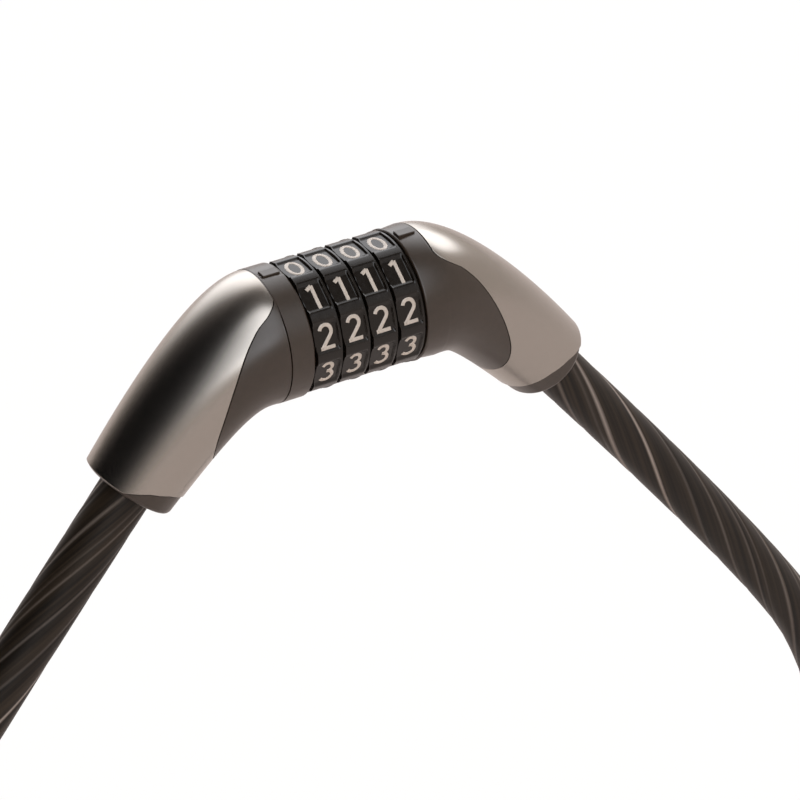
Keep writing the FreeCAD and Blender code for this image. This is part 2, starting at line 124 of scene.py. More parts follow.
# ---- bores and collars --------------------------------------------------------------------------
TUBE_SOCKET = 10.0 * MM     # depth of the tube's and the bolt's bore past the collar
TUBE_BORE_R = 6.52 * MM
SPRING_POCKET_R = 10.06 * MM
SPRING_POCKET_DEPTH = 1.15 * MM
BOLT_BORE_R = 4.22 * MM
SPIGOT_R = 9.0 * MM
SPIGOT_LENGTH = 1.6 * MM
SPIGOT_CHAMFER = 0.2 * MM
SEAM_CHAMFER = 0.15 * MM
COLLAR_ROUND = 0.4 * MM
COLLAR_ROWS = 4
EDGE_SOFTNESS = 0.15 * MM
EDGE_SEGMENTS = 3
EDGE_ANGLE = 35             # edges sharper than this are rounded

EXIT = math.radians(EXIT_ANGLE)
CABLE_DIR = Vector((math.cos(EXIT), 0, -math.sin(EXIT)))
ACROSS_DIR = Vector((math.sin(EXIT), 0, math.cos(EXIT)))
FACE = Vector((COLLAR_OUT + EXIT_REACH, 0, AXIS_Z - EXIT_DROP))

# ---- dials ------------------------------------------------------------------------------------
CELLS = 10
CELL_STEP = 2 * math.pi / CELLS
PLATE_R = 14.2 * MM
RIDGE_HALF_WIDTH = 1.2 * MM
LEDGE_WIDTH = 0.42 * MM
RIM_WIDTH = 0.5 * MM
RIM_DROP = 0.25 * MM
RIM_SIDE_R = 14.6 * MM      # the rim's flat side starts here
LEFT_SIDE_R = 14.2 * MM     # and the left side's here
DIAL_BORE_R = 8.3 * MM
RING_POCKET_R = 10.2 * MM
RING_POCKET_DEPTH = 4.0 * MM
PLATE_MARGIN = 0.1 * MM     # plates count as starting this far beyond a dial's left side
PLATE_CORNER = 0.35 * MM    # size of a plate's cut corners
DIAGONAL = 0.7              # across a corner, for each unit along its two sides
CELL_COLUMNS = 28
# rings across a dial in mm from its left side, closer together at the plates' ledges
DIAL_STATIONS = [0.1, 0.2, 0.3, 0.4, 0.5, 0.65, 0.85]
DIAL_STATIONS += [1.2 + 0.4 * step for step in range(10)]
DIAL_STATIONS += [5.0, 5.15, 5.3, 5.4, 5.5, 5.6, 5.7, 5.8, 5.82, 6.2]
NUMERAL_HEIGHT = 6.0 * MM
NUMERAL_STROKE = 0.86 * MM
NUMERAL_RISE = 0.1 * MM
ARC_STEPS = 16

# ---- cable ------------------------------------------------------------------------------------
CABLE_DIAMETER = 12.0 * MM
EXIT_RUN = 112.0 * MM
# X and Z of the points that draw the cable's line between its two straight runs
ROUTE = [(0.1415, -0.1350), (0.1460, -0.1945), (0.1150, -0.2475), (0.0582, -0.2768),
         (-0.0560, -0.2768), (-0.1120, -0.2485), (-0.1438, -0.1955), (-0.1400, -0.1365)]
LAY_LENGTH = 112.5 * MM     # the strands go once round the cable in this length
# the valleys between strands, in degrees round the cable
STRAND_EDGES = [8, 83, 144, 192, 239, 257, 300, 350]
STRAND_RISE = 0.2 * MM
STRAND_FLATNESS = 6        # the higher, the flatter a strand's top
PROFILE_STEP = 3           # degrees between points round the cable
RING_SPACING = 1.6 * MM
LINE_STEPS = 24            # of the curve between two of its points
JACKET_COLOUR = (0.0090, 0.0062, 0.0039)
# painted highlights: a light band along each strand's edge stands in for the glint on the strands'
# ridges; this is its colour
STRAND_HIGHLIGHT_COLOUR = (1.0, 0.84, 0.73)
# brightness of the painted highlight along each strand's edge, and half its width in degrees round
# the cable
STRAND_HIGHLIGHTS = [(0.23, 7.5), (0.27, 5.5), (0.05, 5.0), (0.07, 4.5), (0.06, 4.0), (0.03, 3.5),
                (0.09, 6.0), (0.035, 6.0)]
STREAK_SCALE = (32, 6, 1)  # how many streaks round the cable, and along all of it
STREAK_DARK = 0.65         # a streak's colour against the jacket's
STREAK_LIGHT = 2.9

# ---- floor, light and camera --------------------------------------------------------------------
FLOOR_SIZE = 6.0
FLOOR_GLOW = 1.05
FLOOR_GLOW_SHARE = 0.85    # of what the camera sees of the floor
WHITE = (1, 1, 1, 1)
# these three colours and ROOM_LEVEL start from a fit and were then adjusted
FLOOR_COLOUR = (0.76, 0.67, 0.62, 1)
ROOM_COLOUR = (1.0, 0.885, 0.815, 1)
BOX_COLOUR = (0.97, 1.0, 1.05, 1)
ROOM_LEVEL = 0.70          # brightness of what is neither box nor screen
# direction, cosine at the patch's outer and inner edge, and a box's gain or a screen's depth;
# results of a fit, nearly unchanged, apart from the last screen
SOFT_BOXES = [((-0.181, -0.633, 0.753), 0.80, 0.927, 12.0),
              ((0.166, 0.871, 0.463), 0.80, 0.998, 2.6),
              ((0.679, 0.399, 0.617), 0.915, 0.969, 2.8)]
SCREENS = [((-0.931, 0.218, 0.293), 0.135, 0.93, 1.0),
           ((-0.199, -0.330, 0.923), 0.56, 0.76, 0.77),
           ((-0.667, -0.649, 0.368), 0.80, 0.97, 0.15)]
SENSOR_WIDTH = 36
CAMERA_NEAR = 0.01
# the rest of the camera, from a fit: the way to it from the barrel's middle, its right and up
CAMERA_BACK = Vector((-0.41431, -0.74762, 0.51904))
CAMERA_RIGHT = Vector((0.87019, -0.49250, -0.01478))
CAMERA_UP = Vector((0.26668, 0.44554, 0.85462))
CAMERA_DISTANCE = 0.8579
CAMERA_LENS = 178.28
AIM_RIGHT = 0.01342        # where the camera aims, from the barrel's middle
AIM_DOWN = 0.01898

# =================================================================================================
# Materials
# =================================================================================================


def new_material(name, colour, roughness, metallic=0.0):
    material = bpy.data.materials.new(name)
    material.use_nodes = True
    shader = material.node_tree.nodes["Principled BSDF"]
    shader.inputs["Base Color"].default_value = (*colour, 1)
    shader.inputs["Roughness"].default_value = roughness
    shader.inputs["Metallic"].default_value = metallic
    return material, material.node_tree, shader


def object_noise(tree, scale):
    coordinates = tree.nodes.new("ShaderNodeTexCoord")
    noise = tree.nodes.new("ShaderNodeTexNoise")
    noise.inputs["Scale"].default_value = scale
    noise.inputs["Detail"].default_value = NOISE_DETAIL
    tree.links.new(coordinates.outputs["Object"], noise.inputs["Vector"])
    return noise


def vary_roughness(tree, shader, scale, low, high):
    noise = object_noise(tree, scale)
    spread = tree.nodes.new("ShaderNodeMapRange")
    spread.inputs["From Min"].default_value = 0.3
    spread.inputs["From Max"].default_value = 0.7
    spread.inputs["To Min"].default_value = low
    spread.inputs["To Max"].default_value = high
    tree.links.new(noise.outputs["Fac"], spread.inputs["Value"])
    tree.links.new(spread.outputs["Result"], shader.inputs["Roughness"])


def vary_colour(tree, shader, scale, dark, light):
    noise = object_noise(tree, scale)
    ramp = tree.nodes.new("ShaderNodeValToRGB")
    ramp.color_ramp.elements[0].position = 0.35
    ramp.color_ramp.elements[0].color = (*dark, 1)
    ramp.color_ramp.elements[1].position = 0.65
    ramp.color_ramp.elements[1].color = (*light, 1)
    tree.links.new(noise.outputs["Fac"], ramp.inputs["Fac"])
    tree.links.new(ramp.outputs["Color"], shader.inputs["Base Color"])


def add_grain(tree, shader, scale, distance, strength):
    noise = object_noise(tree, scale)
    bump = tree.nodes.new("ShaderNodeBump")
    bump.inputs["Strength"].default_value = strength
    bump.inputs["Distance"].default_value = distance
    tree.links.new(noise.outputs["Fac"], bump.inputs["Height"])
    tree.links.new(bump.outputs["Normal"], shader.inputs["Normal"])


def dark_enamel():
    """Warm dark-grey satin enamel on the cast bodies."""
    material, tree, shader = new_material("dark_enamel", (0.031, 0.021, 0.014), 0.31)
    shader.inputs["Specular IOR Level"].default_value = 0.55
    vary_colour(tree, shader, 700, (0.029, 0.020, 0.013), (0.033, 0.022, 0.015))
    vary_roughness(tree, shader, 900, 0.30, 0.32)
    return material


def silver_lacquer():
    """Metallic silver lacquer on the cover shells."""
    material, tree, shader = new_material("silver_lacquer", (0.36, 0.335, 0.305), 0.26, 1.0)
    vary_colour(tree, shader, 900, (0.355, 0.331, 0.301), (0.365, 0.339, 0.309))
    vary_roughness(tree, shader, 900, 0.255, 0.265)
    return material


def dial_black():
    material, tree, shader = new_material("dial_black", (0.0068, 0.0049, 0.0033), 0.2)
    shader.inputs["Specular IOR Level"].default_value = 0.38
    vary_roughness(tree, shader, 700, 0.17, 0.24)
    add_grain(tree, shader, 2600, 0.00001, 0.3)
    return material


def numeral_paint():
    material, tree, shader = new_material("numeral_paint", (0.48, 0.42, 0.36), 0.32)
    vary_colour(tree, shader, 1500, (0.45, 0.395, 0.335), (0.51, 0.445, 0.385))
    add_grain(tree, shader, 2600, 0.00001, 0.4)
    return material


def metal(name, colour, roughness):
    material, tree, shader = new_material(name, colour, roughness, 1.0)
    vary_roughness(tree, shader, 400, roughness * 0.85, roughness * 1.2)
    add_grain(tree, shader, 3000, 0.00001, 0.5)
    return material


def plain_plastic(name, colour, roughness):
    material, tree, shader = new_material(name, colour, roughness)
    vary_roughness(tree, shader, 500, roughness * 0.9, roughness * 1.15)
    add_grain(tree, shader, 4000, 0.00002, 0.4)
    return material


def wire_rope():
    """Bare steel strands, as fine bands."""
    material, tree, shader = new_material("wire_rope", (0.42, 0.41, 0.39), 0.35, 1.0)
    coordinates = tree.nodes.new("ShaderNodeTexCoord")
    wave = tree.nodes.new("ShaderNodeTexWave")
    wave.inputs["Scale"].default_value = 260
    wave.inputs["Distortion"].default_value = 0.5
    bump = tree.nodes.new("ShaderNodeBump")
    bump.inputs["Distance"].default_value = 0.0002
    tree.links.new(coordinates.outputs["Object"], wave.inputs["Vector"])
    tree.links.new(wave.outputs["Fac"], bump.inputs["Height"])
    tree.links.new(bump.outputs["Normal"], shader.inputs["Normal"])
    return material


def cable_jacket():
    """Dark jacket over twisted strands, with painted highlights along the strands' edges; the map
    runs round and along the cable.
    """
    material, tree, shader = new_material("cable_jacket", JACKET_COLOUR, 0.42)
    shader.inputs["Specular IOR Level"].default_value = 0.21
    nodes, links = tree.nodes, tree.links
    uv = nodes.new("ShaderNodeUVMap")
    uv.uv_map = "strands"
    split = nodes.new("ShaderNodeSeparateXYZ")
    links.new(uv.outputs["UV"], split.inputs["Vector"])
    painted_highlights = nodes.new("ShaderNodeValToRGB")
    ramp = painted_highlights.color_ramp
    ramp.elements[0].position = 0.0
    ramp.elements[0].color = (0, 0, 0, 1)
    ramp.elements[1].position = 1.0
    ramp.elements[1].color = (0, 0, 0, 1)
    # painted highlights: a narrow light band at each strand's edge, brightest at the edge and fading
    # to either side
    for edge, (highlight_level, half_width) in zip(STRAND_EDGES, STRAND_HIGHLIGHTS):
        ramp.elements.new((edge - half_width) / 360).color = (0, 0, 0, 1)
        ramp.elements.new(edge / 360).color = (*[highlight_level * channel for channel in STRAND_HIGHLIGHT_COLOUR], 1)
        ramp.elements.new((edge + half_width) / 360).color = (0, 0, 0, 1)
    links.new(split.outputs["X"], painted_highlights.inputs["Fac"])
    stretch = nodes.new("ShaderNodeMapping")
    stretch.inputs["Scale"].default_value = STREAK_SCALE
    links.new(uv.outputs["UV"], stretch.inputs["Vector"])
    streaks = nodes.new("ShaderNodeTexNoise")
    streaks.inputs["Scale"].default_value = 1.0
    streaks.inputs["Detail"].default_value = 2.5
    links.new(stretch.outputs["Vector"], streaks.inputs["Vector"])
    gain = nodes.new("ShaderNodeMapRange")
    gain.inputs["From Min"].default_value = 0.38
    gain.inputs["From Max"].default_value = 0.68
    gain.inputs["To Min"].default_value = STREAK_DARK
    gain.inputs["To Max"].default_value = STREAK_LIGHT
    links.new(streaks.outputs["Fac"], gain.inputs["Value"])
    streaked = nodes.new("ShaderNodeVectorMath")
    streaked.operation = "SCALE"
    streaked.inputs[0].default_value = JACKET_COLOUR
    links.new(gain.outputs["Result"], streaked.inputs["Scale"])
    total = nodes.new("ShaderNodeVectorMath")
    total.operation = "ADD"
    links.new(painted_highlights.outputs["Color"], total.inputs[0])
    links.new(streaked.outputs["Vector"], total.inputs[1])
    links.new(total.outputs["Vector"], shader.inputs["Base Color"])
    return material


DARK = dark_enamel()
SILVER = silver_lacquer()
BLACK = dial_black()
CREAM = numeral_paint()
JACKET = cable_jacket()
BRASS = metal("turned_brass", (0.62, 0.43, 0.18), 0.28)
STEEL = metal("ground_steel", (0.50, 0.49, 0.47), 0.25)
ALUMINIUM = metal("pressed_aluminium", (0.66, 0.66, 0.65), 0.35)
SPACER = plain_plastic("spacer_plastic", (0.02, 0.02, 0.02), 0.5)
ROPE = wire_rope()

# =================================================================================================
# Shapes
# =================================================================================================


def edge_point(t, side, start_handle, end_handle, end_angle):
    """Point at t on the right elbow's outer (side 1) or inner (side -1) edge in side view."""
    p0 = Vector((COLLAR_OUT, 0, AXIS_Z + side * ELBOW_R))
    p3 = FACE + ACROSS_DIR * (side * EXIT_IN_PLANE)
    a = math.radians(end_angle)
    p1 = p0 + Vector((start_handle, 0, 0))
    p2 = p3 - Vector((math.cos(a), 0, -math.sin(a))) * end_handle
    s = 1 - t
    return p0 * s**3 + p1 * (3 * s * s * t) + p2 * (3 * s * t * t) + p3 * t**3


def elbow_point(t, phi, inset=0.0):
    """Point of the right elbow's surface: t from collar to lip, phi from the arch's outside."""
    outer = edge_point(t, 1, OUTER_START, OUTER_END, EXIT_ANGLE + OUTER_TAPER)
    inner = edge_point(t, -1, INNER_START, INNER_END, EXIT_ANGLE - INNER_TAPER)
    centre = (outer + inner) / 2
    outward = (outer - inner).normalized()
    in_plane = (outer - inner).length / 2 - inset
    across = ELBOW_R + (EXIT_ACROSS - ELBOW_R) * t**WIDTH_TAPER - inset
    point = centre + outward * (in_plane * math.cos(phi))
    point.y -= across * math.sin(phi)
    return point


def curve_value(points, place):
    """Smooth curve through (place, value) points in rising order of place."""
    last = len(points) - 1
    index = 0
    while index < last - 1 and place > points[index + 1][0]:
        index += 1
    (p1, v1), (p2, v2) = points[index], points[index + 1]
    p0, v0 = points[max(index - 1, 0)]
    p3, v3 = points[min(index + 2, last)]
    slope1 = (v2 - v0) / (p2 - p0)
    slope2 = (v3 - v1) / (p3 - p1)
    span = p2 - p1
    u = min(max((place - p1) / span, 0), 1)
    return (v1 * (1 + 2 * u) * (1 - u)**2 + v2 * u * u * (3 - 2 * u)
            + slope1 * span * u * (1 - u)**2 + slope2 * span * u * u * (u - 1))


TONGUE_RISING = [(z * MM, x * MM) for z, x in reversed(TONGUE_EDGE)]


def past_tongue(point, start):
    """How far a point lies past the cover's edge, which runs into its start at the collar."""
    height = point.z - AXIS_Z
    edge = curve_value(TONGUE_RISING, height) if height < TONGUE_RISING[-1][0] else -TONGUE_CORNER
    apart = max(TONGUE_CORNER - abs(edge - start), 0) / TONGUE_CORNER
    rounded = max(edge, start) + TONGUE_CORNER * apart * apart / 4
    return point.x - COLLAR_OUT - rounded


def past_cover(point, gap):
    """How far a point lies past the cover's curved end, gap further up the elbow."""
    across = (point - FACE).dot(ACROSS_DIR) / MM
    for (a0, b0), (a1, b1) in zip(COVER_END, COVER_END[1:]):
        if across <= a1:
            break
    back = (b0 + (b1 - b0) * (across - a0) / (a1 - a0)) * MM
    return (point - FACE).dot(CABLE_DIR) + back - gap


def crossing(measure, phi, low, high):
    """The t between low and high where measure of the elbow's point turns positive."""
    for _ in range(HALVINGS):
        middle = (low + high) / 2
        if measure(elbow_point(middle, phi)) < 0:
            low = middle
        else:
            high = middle
    return high


def angles():
    return [2 * math.pi * index / COLUMNS for index in range(COLUMNS + 1)]


def axis_ring(x, radius):
    """Ring round the barrel's axis."""
    return [Vector((x, -radius * math.sin(phi), AXIS_Z + radius * math.cos(phi)))
            for phi in angles()]


def exit_ring(depth, radius):
    """Ring round the cable's axis, depth inside the lip's face."""
    centre = FACE - CABLE_DIR * depth
    return [centre + ACROSS_DIR * (radius * math.cos(phi)) - Vector((0, radius * math.sin(phi), 0))
            for phi in angles()]


def elbow_ring(places, inset):
    return [elbow_point(t, phi, inset) for t, phi in zip(places, angles())]


def between(starts, ends, share):
    return [a + (b - a) * share for a, b in zip(starts, ends)]


def skin(name, rings, side, material):
    """A surface through rings of points; side -1 mirrors it to the plug's elbow."""
    bm = bmesh.new()
    columns = len(rings[0]) - 1
    rows = len(rings) - 1
    bmesh.ops.create_grid(bm, x_segments=columns, y_segments=rows, size=1)
    for vert in bm.verts:
        column = round((vert.co.x + 1) / 2 * columns)
        row = round((vert.co.y + 1) / 2 * rows)
        vert.co = rings[row][column]
        vert.co.x *= side
    bmesh.ops.remove_doubles(bm, verts=bm.verts, dist=1e-7)
    bmesh.ops.dissolve_degenerate(bm, edges=bm.edges, dist=1e-7)
    bmesh.ops.recalc_face_normals(bm, faces=bm.faces)
    return finished(name, bm, material)


def finished(name, bm, material, sharp=40):
    mesh = bpy.data.meshes.new(name)
    bm.to_mesh(mesh)
    bm.free()
    mesh.shade_smooth()
    mesh.set_sharp_from_angle(angle=math.radians(sharp))
    mesh.materials.append(material)
    piece = bpy.data.objects.new(name, mesh)
    bpy.context.scene.collection.objects.link(piece)
    return piece


def soften(piece, width):
    bevel = piece.modifiers.new("edges", "BEVEL")
    bevel.width = width
    bevel.segments = EDGE_SEGMENTS
    bevel.limit_method = "ANGLE"
    bevel.angle_limit = math.radians(EDGE_ANGLE)
    bevel.harden_normals = True
    return piece


def cover_rings(start_gap):
    starts = [crossing(lambda p: past_tongue(p, start_gap), phi, 0, 1) for phi in angles()]
    ends = [crossing(lambda p: past_cover(p, 0), phi, 0.5, 1) for phi in angles()]
    outside = [elbow_ring(between(starts, ends, row / COVER_ROWS), 0)
               for row in range(COVER_ROWS + 1)]
    inside = [elbow_ring(between(starts, ends, row / COVER_INSIDE_ROWS), COVER_WALL)
              for row in range(COVER_INSIDE_ROWS, -1, -1)]
    return outside + inside + outside[:1]


def housing_rings(start_rings):
    """Body under a cover: start rings, bare tongue, pocket, lip, and the cable's socket."""
    edges = [crossing(lambda p: past_tongue(p, 0) + EDGE_GAP, phi, 0, 1) for phi in angles()]
    lips = [crossing(lambda p: past_cover(p, EDGE_GAP), phi, 0.5, 1) for phi in angles()]
    ends = [1.0] * (COLUMNS + 1)
    rings = list(start_rings)
    zeros = [0.0] * (COLUMNS + 1)
    rings += [elbow_ring(between(zeros, edges, row / TONGUE_ROWS), 0)
              for row in range(TONGUE_ROWS + 1)]
    rings += [elbow_ring(between(edges, lips, row / POCKET_ROWS), POCKET_DEPTH)
              for row in range(POCKET_ROWS + 1)]
    straight = [1 - LIP_ROUND / (3 * OUTER_END)] * (COLUMNS + 1)
    lows = [min(a, b) for a, b in zip(lips, straight)]
    rings += [elbow_ring(between(lows, straight, row / LIP_ROWS), LIP_STEP)
              for row in range(LIP_ROWS + 1)]
    for step in range(1, LIP_ROUND_ROWS + 1):
        q = step / LIP_ROUND_ROWS * math.pi / 2
        share = math.sin(q)
        rings.append(elbow_ring(between(straight, ends, share),
                                LIP_STEP + LIP_ROUND * (1 - math.cos(q))))
    rings.append(exit_ring(0, SOCKET_R + SOCKET_CHAMFER))
    rings.append(exit_ring(SOCKET_CHAMFER, SOCKET_R))
    rings.append(exit_ring(SOCKET_DEPTH, SOCKET_R))
    rings.append(exit_ring(SOCKET_DEPTH, 0))
    return rings


def rounded_collar(x_in, x_out, bore):
    """Rings over a collar from its bore at the inner side, with a rounded inner rim."""
    rings = [axis_ring(x_in, bore)]
    for step in range(COLLAR_ROWS + 1):
        q = step / COLLAR_ROWS * math.pi / 2
        rings.append(axis_ring(x_in + COLLAR_ROUND * (1 - math.sin(q)),
                               BARREL_R - COLLAR_ROUND * (1 - math.cos(q))))
    rings.append(axis_ring(x_out - COLLAR_ROUND, BARREL_R))
    return rings


def lock_body():
    floor_x = COLLAR_OUT + TUBE_SOCKET
    pocket_x = COLLAR_IN + SPRING_POCKET_DEPTH
    start = [axis_ring(floor_x, 0), axis_ring(floor_x, TUBE_BORE_R),
             axis_ring(pocket_x, TUBE_BORE_R), axis_ring(pocket_x, SPRING_POCKET_R)]
    start += rounded_collar(COLLAR_IN, COLLAR_OUT, SPRING_POCKET_R)
    return skin("lock_body", housing_rings(start), LOCK_SIDE, DARK)


def plug_body():
    face = COLLAR_OUT + SEAM_GAP
    nose = face - SPIGOT_LENGTH
    floor_x = COLLAR_OUT + TUBE_SOCKET
    start = [axis_ring(floor_x, 0), axis_ring(floor_x, BOLT_BORE_R),
             axis_ring(nose, BOLT_BORE_R), axis_ring(nose, SPIGOT_R - SPIGOT_CHAMFER),
             axis_ring(nose + SPIGOT_CHAMFER, SPIGOT_R), axis_ring(face, SPIGOT_R),
             axis_ring(face, ELBOW_R - SEAM_CHAMFER), axis_ring(face + SEAM_CHAMFER, ELBOW_R)]
    rings = housing_rings([])
    rings[0] = [Vector((max(p.x, face + SEAM_CHAMFER), p.y, p.z)) for p in rings[0]]
    return skin("plug_body", start + rings, PLUG_SIDE, DARK)


def smooth_copy(node, name, material, sharp=30):
    """A CAD node's mesh with its doubles merged, shaded smooth, in place of the node."""
    bm = bmesh.new()
    bm.from_mesh(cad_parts[node].data)
    bmesh.ops.remove_doubles(bm, verts=bm.verts, dist=1e-6)
    piece = finished(name, bm, material, sharp)
    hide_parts(node)
    return piece


# ---- dials --------------------------------------------------------------------------------------
def dial_radius(across, turn):
    """Radius of a dial: across from its left side, turn round the barrel from a cell's middle."""
    cell = turn - round(turn / CELL_STEP) * CELL_STEP
    left = across + PLATE_MARGIN
    right = DIAL_WIDTH - RIM_WIDTH - across
    end = (CELL_STEP / 2 - abs(cell)) * BARREL_R - RIDGE_HALF_WIDTH
    corner = (min(left, right) + end - PLATE_CORNER) * DIAGONAL
    inside = min(right, end, corner)
    plate = min(PLATE_R / math.cos(cell), BARREL_R)
    if across > DIAL_WIDTH - RIM_WIDTH:
        return BARREL_R - RIM_DROP
    share = min(max(inside / LEDGE_WIDTH, 0), 1)
    return BARREL_R + (plate - BARREL_R) * share


def dial_ring(across, x0, radius=None):
    columns = CELLS * CELL_COLUMNS
    ring = []
    for index in range(columns + 1):
        turn = 2 * math.pi * index / columns
        r = dial_radius(across, turn) if radius is None else radius
        ring.append(Vector((x0 + across, -r * math.sin(turn), AXIS_Z + r * math.cos(turn))))
    return ring


def dial_wheel(node):
    x0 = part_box(node)[0].x
    rings = [dial_ring(0, x0, RING_POCKET_R), dial_ring(0, x0, LEFT_SIDE_R)]
    rings += [dial_ring(station * MM, x0) for station in DIAL_STATIONS]
    rings += [dial_ring(DIAL_WIDTH, x0, RIM_SIDE_R), dial_ring(DIAL_WIDTH, x0, DIAL_BORE_R),
              dial_ring(RING_POCKET_DEPTH, x0, DIAL_BORE_R),
              dial_ring(RING_POCKET_DEPTH, x0, RING_POCKET_R)]
    rings.append(rings[0])
    piece = skin(node + "_wheel", rings, LOCK_SIDE, BLACK)
    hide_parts(node)
    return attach(piece, node)


# ---- numerals -----------------------------------------------------------------------------------
def arc(x, y, rx, ry, start, end):
    """Points on an oval arc, in degrees anticlockwise from the right."""
    points = []
    for step in range(ARC_STEPS + 1):
        a = math.radians(start + (end - start) * step / ARC_STEPS)
        points.append((x + rx * math.cos(a), y + ry * math.sin(a)))
    return points


# Strokes of each numeral in a field one unit high, by their middle lines.
SIX = [arc(0, -0.17, 0.25, 0.255, 0, 360),
       [(-0.25, -0.14), (-0.215, 0.06), (-0.09, 0.25), (0.13, 0.43)]]
STROKES = [
    [arc(0, 0, 0.25, 0.425, 0, 360)],
    [[(-0.17, 0.29), (0.06, 0.42)], [(0.06, 0.43), (0.06, -0.5)]],
    [arc(0, 0.185, 0.23, 0.24, 165, -38) + [(-0.21, -0.42)], [(-0.28, -0.425), (0.29, -0.425)]],
    [arc(-0.01, 0.215, 0.2, 0.21, 155, -90), arc(-0.02, -0.2, 0.25, 0.225, 90, -150)],
    [[(0.11, 0.44), (0.11, -0.5)], [(0.11, 0.44), (-0.28, -0.2)], [(-0.3, -0.2), (0.3, -0.2)]],
    [[(0.24, 0.425), (-0.16, 0.425)], [(-0.15, 0.46), (-0.2, 0.02)],
     arc(-0.01, -0.15, 0.25, 0.275, 138, -150)],
    SIX,
    [[(-0.28, 0.425), (0.29, 0.425)], [(0.25, 0.44), (-0.1, -0.5)]],
    [arc(0, 0.215, 0.2, 0.205, 0, 360), arc(0, -0.2, 0.255, 0.225, 0, 360)],
    [[(-x, -y) for x, y in stroke] for stroke in SIX],
]


def numeral_mesh(value):
    """The numeral as a low rounded print, lying flat, one field high."""
    curve = bpy.data.curves.new("numeral", "CURVE")
    curve.dimensions = "3D"
    curve.bevel_depth = NUMERAL_STROKE / 2
    curve.bevel_resolution = 3
    curve.use_fill_caps = True
    for stroke in STROKES[value]:
        ring = stroke[0] == stroke[-1] or math.dist(stroke[0], stroke[-1]) < 1e-6
        points = stroke[:-1] if ring else stroke
        spline = curve.splines.new("POLY")
        spline.points.add(len(points) - 1)
        for point, (x, y) in zip(spline.points, points):
            point.co = (x * NUMERAL_HEIGHT, y * NUMERAL_HEIGHT, 0, 1)
        spline.use_cyclic_u = ring
    carrier = bpy.data.objects.new("numeral", curve)
    bpy.context.scene.collection.objects.link(carrier)
    depsgraph = bpy.context.evaluated_depsgraph_get()
    mesh = bpy.data.meshes.new_from_object(carrier.evaluated_get(depsgraph))
    bpy.data.objects.remove(carrier)
    mesh.transform(Matrix.Diagonal((1, 1, NUMERAL_RISE / (NUMERAL_STROKE / 2), 1)))
    return mesh


def numerals(node, meshes):
    """Ten numerals round a dial, 0 on top and rising towards the user."""
    low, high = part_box(node)
    middle = (low.x + high.x - RIM_WIDTH) / 2
    bm = bmesh.new()
    for value, mesh in enumerate(meshes):
        mesh = mesh.copy()
        place = (Matrix.Translation((middle, 0, AXIS_Z)) @ Matrix.Rotation(value * CELL_STEP, 4, "X")
                 @ Matrix.Translation((0, 0, PLATE_R)))
        mesh.transform(place)
        bm.from_mesh(mesh)
    piece = finished(node + "_numerals", bm, CREAM)
    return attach(piece, node)


# ---- cable --------------------------------------------------------------------------------------
def cable_line():
    """The cable's centreline as evenly spaced points read from one smooth curve."""
    socket = FACE - CABLE_DIR * SOCKET_DEPTH
    bend = socket + CABLE_DIR * EXIT_RUN
    points = [socket, bend] + [Vector((x, 0, z)) for x, z in ROUTE]
    points += [Vector((-bend.x, 0, bend.z)), Vector((-socket.x, 0, socket.z))]
    curve = bpy.data.curves.new("cable_line", "CURVE")
    curve.dimensions = "3D"
    curve.resolution_u = LINE_STEPS
    spline = curve.splines.new("NURBS")
    spline.points.add(len(points) - 1)
    for point, place in zip(spline.points, points):
        point.co = (*place, 1)
    spline.order_u = 3
    spline.use_endpoint_u = True
    carrier = bpy.data.objects.new("cable_line", curve)
    bpy.context.scene.collection.objects.link(carrier)
    depsgraph = bpy.context.evaluated_depsgraph_get()
    mesh = bpy.data.meshes.new_from_object(carrier.evaluated_get(depsgraph))
    bpy.data.objects.remove(carrier)
    return evenly([v.co.copy() for v in mesh.vertices], RING_SPACING)


def evenly(points, spacing):
    """Points at equal distances along a polyline, with both of its ends."""
    reach = [0.0]
    for a, b in zip(points, points[1:]):
        reach.append(reach[-1] + (b - a).length)
    count = round(reach[-1] / spacing)
    found = []
    index = 0
    for step in range(count + 1):
        wanted = reach[-1] * step / count
        while index < len(points) - 2 and reach[index + 1] < wanted:
            index += 1
        share = (wanted - reach[index]) / (reach[index + 1] - reach[index])
        found.append(points[index].lerp(points[index + 1], share))
    return found


def strand_profile():
    """(turn, radius) round the cable: broad low strands with narrow valleys between them."""
    profile = []
    top = CABLE_DIAMETER / 2
    edges = [STRAND_EDGES[-1] - 360] + STRAND_EDGES + [STRAND_EDGES[0] + 360]
    for turn in range(0, 361, PROFILE_STEP):
        for start, end in zip(edges, edges[1:]):
            if start <= turn <= end:
                bulge = 1 - abs(2 * (turn - start) / (end - start) - 1)**STRAND_FLATNESS
        profile.append((math.radians(turn), top - STRAND_RISE * (1 - bulge)))
    return profile


